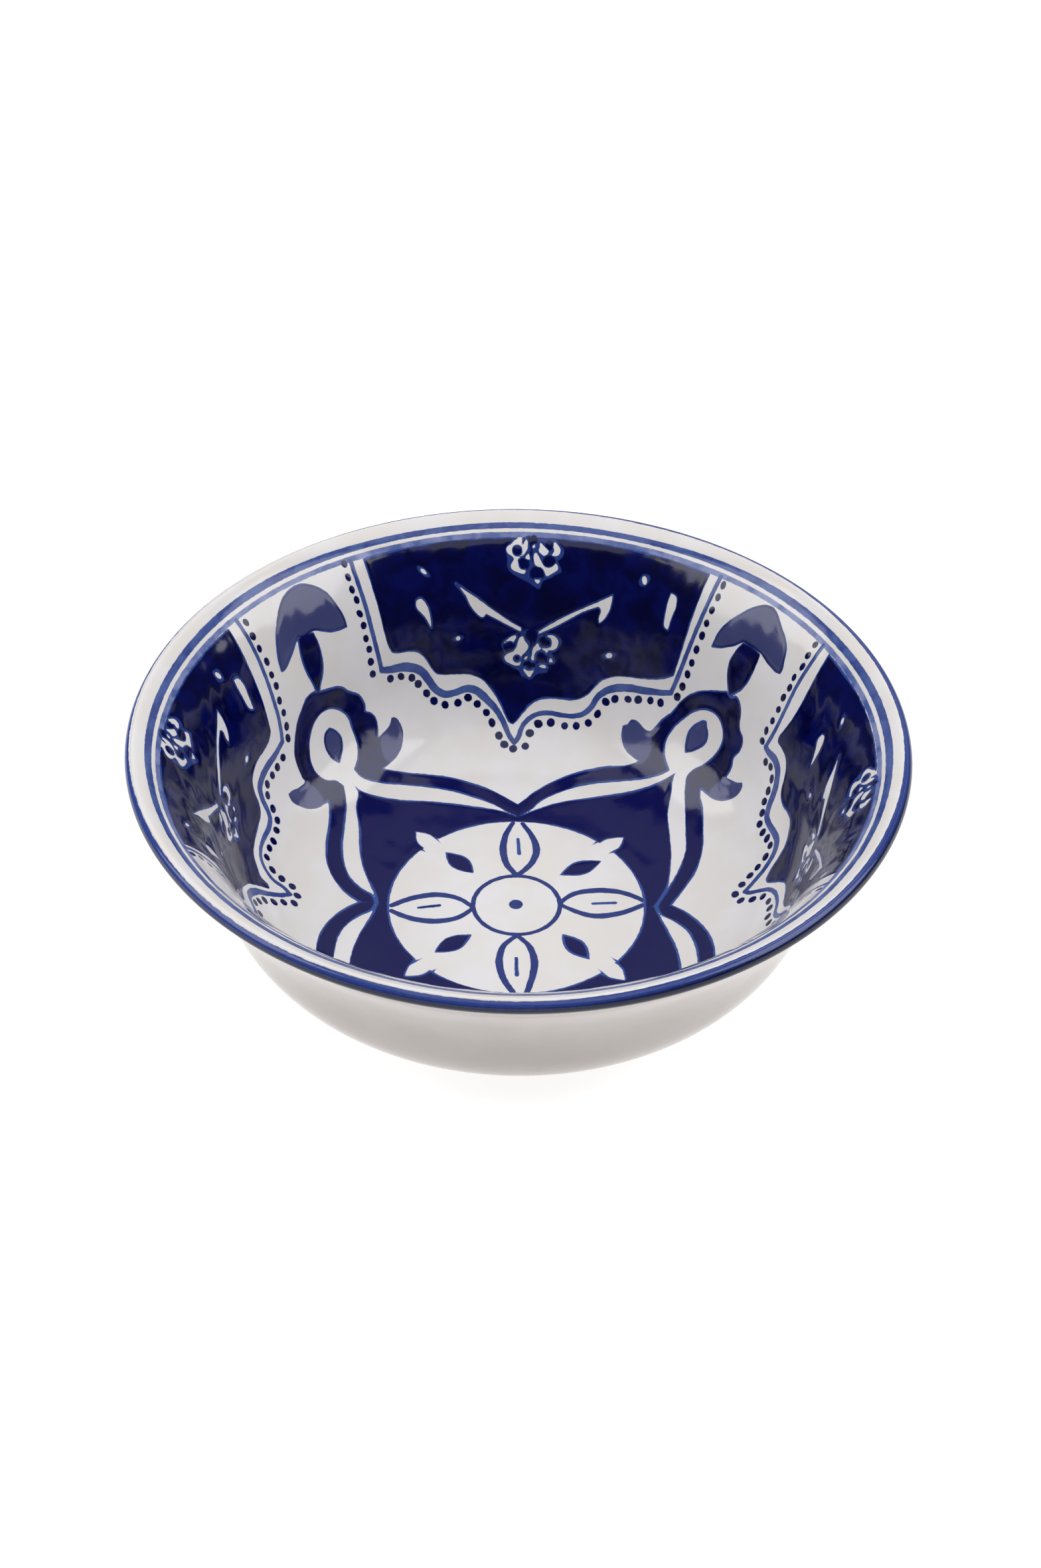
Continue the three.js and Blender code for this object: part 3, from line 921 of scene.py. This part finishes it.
band_line = rounded(lip_centre, lip_radius, band_start, band_end, 28)
lip_line = np.vstack([band_line, sunk(band_line, glaze_depth)[::-4]])
lip = thrown("blue_lip", lip_line, [fine_turns] * len(lip_line), closed=True)
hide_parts("rim_band")
lip_length = math.radians(band_start - band_end) * lip_radius
lip_turn = np.repeat(np.linspace(0, lip_length, len(band_line)), fine_turns)
lip_bearing = np.tile(np.arange(fine_turns) * 2 * math.pi / fine_turns, len(band_line))
brushed_on(lip, "rim_blue", run[-1] + lip_turn - band_edge(lip_bearing))
banding, sockets = finish("banded_cobalt", lip)
ragged = (speckle(banding, 2.2, 3) - 0.5) * 0.7
streak = speckle(banding, 4, 4, 0, 1.5)
band_depth = layer_of(banding, "rim_blue") + ragged
# Darker navy over the outer, downturned side of the lip: pooled cobalt and painted shade under the lip.
pooled_and_shaded_blue = tint(1, 6, 46)
band_colour = band_depth.rise(1.4, 3.6).over(streak.rise(0.3, 0.7).over(rim_blue, brush_dark), pooled_and_shaded_blue)
lay(band_depth.rise(-0.15, 0.15).over(white_glaze, band_colour), sockets["Base Color"])
glassy(banding, sockets, 0.04)


# -------------------------------------------------------------- outside glaze
# The outside is dipped in the plain white glaze and left unpainted. Its colour here is set greyer than the
# inside's white: painted shade for the outer wall, which gets less light. Its faint rings are the marks of
# the potter's rib, softened by the glaze, with a few specks of iron from the clay.

def plain_glaze(name, piece, colour, other):
    """White glaze over buff clay, clouded a little and specked with iron."""
    white, sockets = finish(name, piece)
    cloud = speckle(white, 30, 3)
    iron = speckle(white, 1.1, 2).rise(0.74, 0.80)
    shade = cloud.rise(0.35, 0.65).over(colour, other)
    lay((iron * 0.35).over(shade, tint(150, 128, 104)), sockets["Base Color"])
    glassy(white, sockets, 0.06)


outer = outside_line(60)
outer_turns = 288
rib_depth = 0.012
ribbing = rib_depth * np.sin(np.linspace(0, 18 * math.pi, len(outer))) - rib_depth
ribbing *= np.clip((outer[:, 1] - foot_height) / 6, 0, 1)
ribbing *= np.clip((lip_centre[1] - 4 - outer[:, 1]) / 6, 0, 1)
outer_ribbed = sunk(outer, 0) + (sunk(outer, 1) - outer) * -ribbing[:, None]
outer_under = sunk(outer, glaze_depth)[::-5]
coat_line = np.vstack([outer_ribbed, outer_under])
coat = thrown("white_outside", coat_line, [outer_turns] * len(coat_line), closed=True)
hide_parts("outside_glaze")
# The same white glaze as inside, given a greyer colour: painted shade on the outer wall.
plain_glaze("white_glaze_outside_painted_shade", coat, tint(180, 173, 169), tint(175, 167, 162))


# ----------------------------------------------------------------- base glaze
# A thinner coat of the same white glaze lines the hollow inside the foot ring, poured in and tipped out.

hollow = base_line(12)
hollow_under = sunk(hollow, glaze_depth)[::-1]
to_middle = [outer_turns] * (len(hollow) - 1) + [1]
pool = thrown("white_base", np.vstack([hollow, hollow_under]), to_middle + to_middle[::-1], closed=True)
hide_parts("base_glaze")
plain_glaze("white_glaze_base", pool, tint(220, 214, 206), tint(210, 202, 192))


# ---------------------------------------------------------------------- stage
# A wide sheet of pale paper, soft boxes above and at both sides, and a bright wall behind. They stand for
# a plain studio and aren't part of the bowl.

sheet = bpy.data.meshes.new("paper_floor")
half = 6.0
sheet_corners = [(-half, -half, 0), (half, -half, 0), (half, half, 0), (-half, half, 0)]
sheet.from_pydata(sheet_corners, [], [(0, 1, 2, 3)])
paper = bpy.data.objects.new("paper_floor", sheet)
bpy.context.scene.collection.objects.link(paper)
paper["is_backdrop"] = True
card = bpy.data.materials.new("pale_paper")
card.use_nodes = True
sheet.materials.append(card)
fibre = Tone(card.node_tree)
sockets = card.node_tree.nodes["Principled BSDF"].inputs
lay(speckle(fibre, 300, 2).over(tint(204, 204, 204), tint(210, 210, 210)), sockets["Base Color"])
sockets["Roughness"].default_value = 0.9
sockets["Specular IOR Level"].default_value = 0.0
sockets["Emission Color"].default_value = (1, 1, 1, 1)
sockets["Emission Strength"].default_value = 0.74


def soft_box(name, place, target, width, height, brightness):
    """A lamp behind cloth, width by height metres, as bright as brightness all over its face."""
    lamp = bpy.data.lights.new(name, "AREA")
    lamp.shape = "RECTANGLE"
    lamp.size = width
    lamp.size_y = height
    lamp.energy = brightness * math.pi * width * height
    box = bpy.data.objects.new(name, lamp)
    box.location = place
    box.rotation_euler = (Vector(target) - Vector(place)).to_track_quat("-Z", "Y").to_euler()
    bpy.context.scene.collection.objects.link(box)


soft_box("lamp_left", (-1.9, 0, 1.8), (0, 0, 0), 1.9, 1.7, 3.7)
soft_box("lamp_right", (1.9, 0, 1.8), (0, 0, 0), 1.9, 1.7, 3.7)
soft_box("lamp_above", (0, -0.3, 2.4), (0, 0, 0), 2.0, 2.4, 1.25)
soft_box("wall_behind", (0, 2.2, 1.7), (0, 0, 0), 4.6, 2.2, 0.42)
world = bpy.data.worlds.new("studio")
world.use_nodes = True
world.node_tree.nodes["Background"].inputs["Color"].default_value = (1, 1, 1, 1)
world.node_tree.nodes["Background"].inputs["Strength"].default_value = 0.06
bpy.context.scene.world = world

view_height = math.radians(39.97)
view_distance = 1.0907
side_step = 0.82 * MM
drop_step = 17.71 * MM
aim = Vector((0, 0, 0.0925))
ahead = Vector((0, math.cos(view_height), -math.sin(view_height)))
upward = Vector((0, math.sin(view_height), math.cos(view_height)))
lens = bpy.data.cameras.new("viewpoint")
lens.sensor_fit = "HORIZONTAL"
lens.sensor_width = 36.0
lens.lens = 105.9
eye = bpy.data.objects.new("viewpoint", lens)
sideways = Vector((1, 0, 0))
tilt = Matrix.Rotation(math.radians(0.85), 4, "Z")
eye_place = aim - ahead * view_distance + sideways * side_step - upward * drop_step
eye_turn = Matrix((sideways, upward, -ahead)).transposed().to_4x4()
eye.matrix_world = Matrix.Translation(eye_place) @ eye_turn @ tilt
bpy.context.scene.collection.objects.link(eye)
bpy.context.scene.camera = eye
bpy.context.scene.view_settings.view_transform = "Standard"

low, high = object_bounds()
